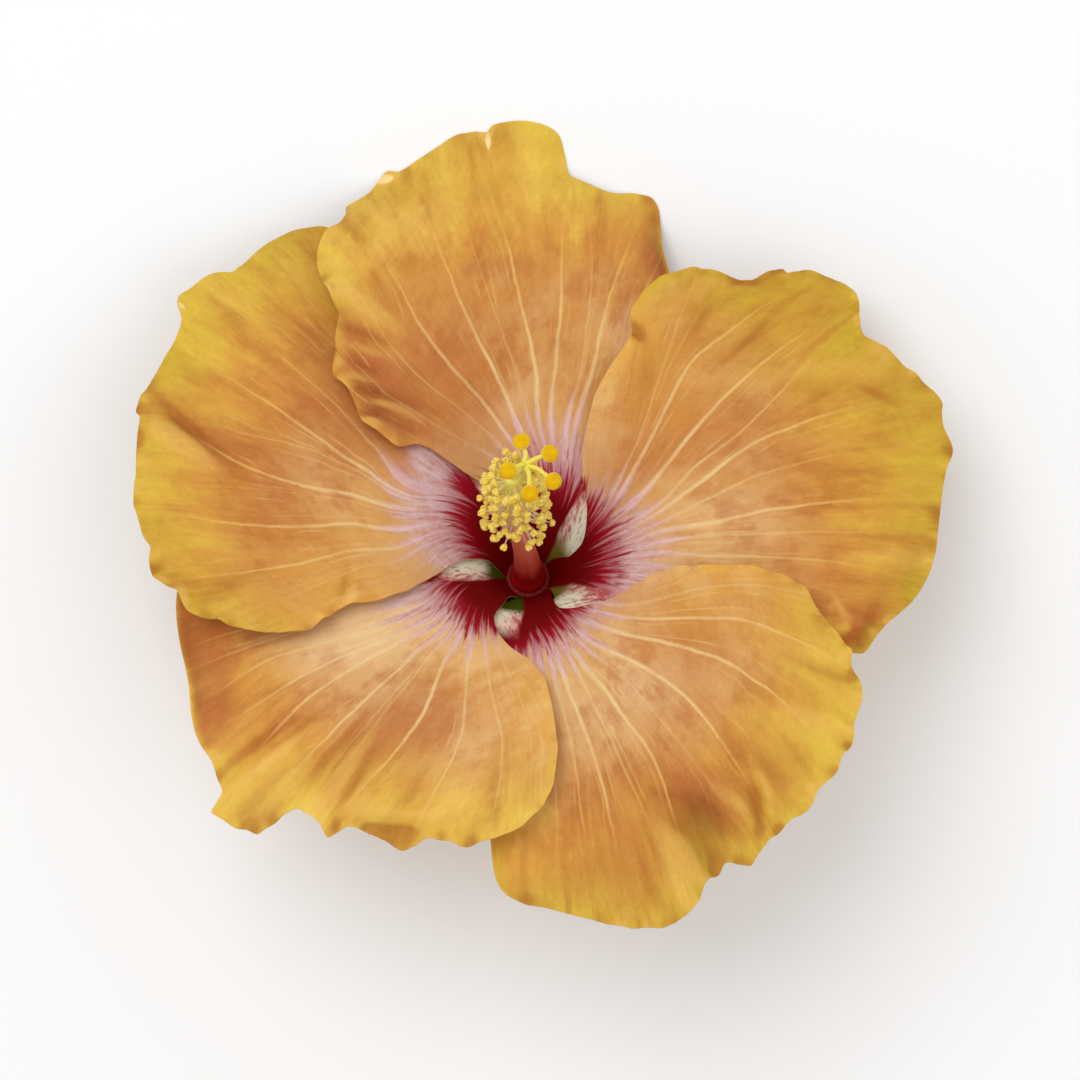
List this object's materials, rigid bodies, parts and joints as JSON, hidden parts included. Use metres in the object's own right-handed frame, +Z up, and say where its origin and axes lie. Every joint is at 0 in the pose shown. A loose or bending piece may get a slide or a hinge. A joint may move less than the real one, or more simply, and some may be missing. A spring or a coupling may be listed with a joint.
{
  "type": "tropical hibiscus flower",
  "caption": "Single tropical hibiscus bloom, wide open, golden orange with a dark red eye and an upright stamen column, on a short cut stalk, lying face up",
  "frame": {"origin": "centre of the bounding box, on the table that the bloom lies on", "axes": "+Z up from the table, towards the viewer; +Y from the throat to the top petal, the way the stamen column leans; +X to the viewer's right"},
  "size_m": [0.1617, 0.1584, 0.0712],
  "materials": {
    "petal": "soft matt petal skin, golden orange, dark red at the throat",
    "stamens": "powdery yellow anthers on pale filaments",
    "stigmas": "velvety orange yellow",
    "sepals": "matt leaf green",
    "stalk": "matt green stalk"
  },
  "bodies": {
    "root": {"petal_top": "petal", "petal_right": "petal", "petal_lower_right": "petal", "petal_lower_left": "petal", "petal_left": "petal", "staminal_column": "stamens", "pistil": "stigmas", "calyx": "sepals", "epicalyx": "sepals", "pedicel": "stalk"}
  },
  "joints": []
}
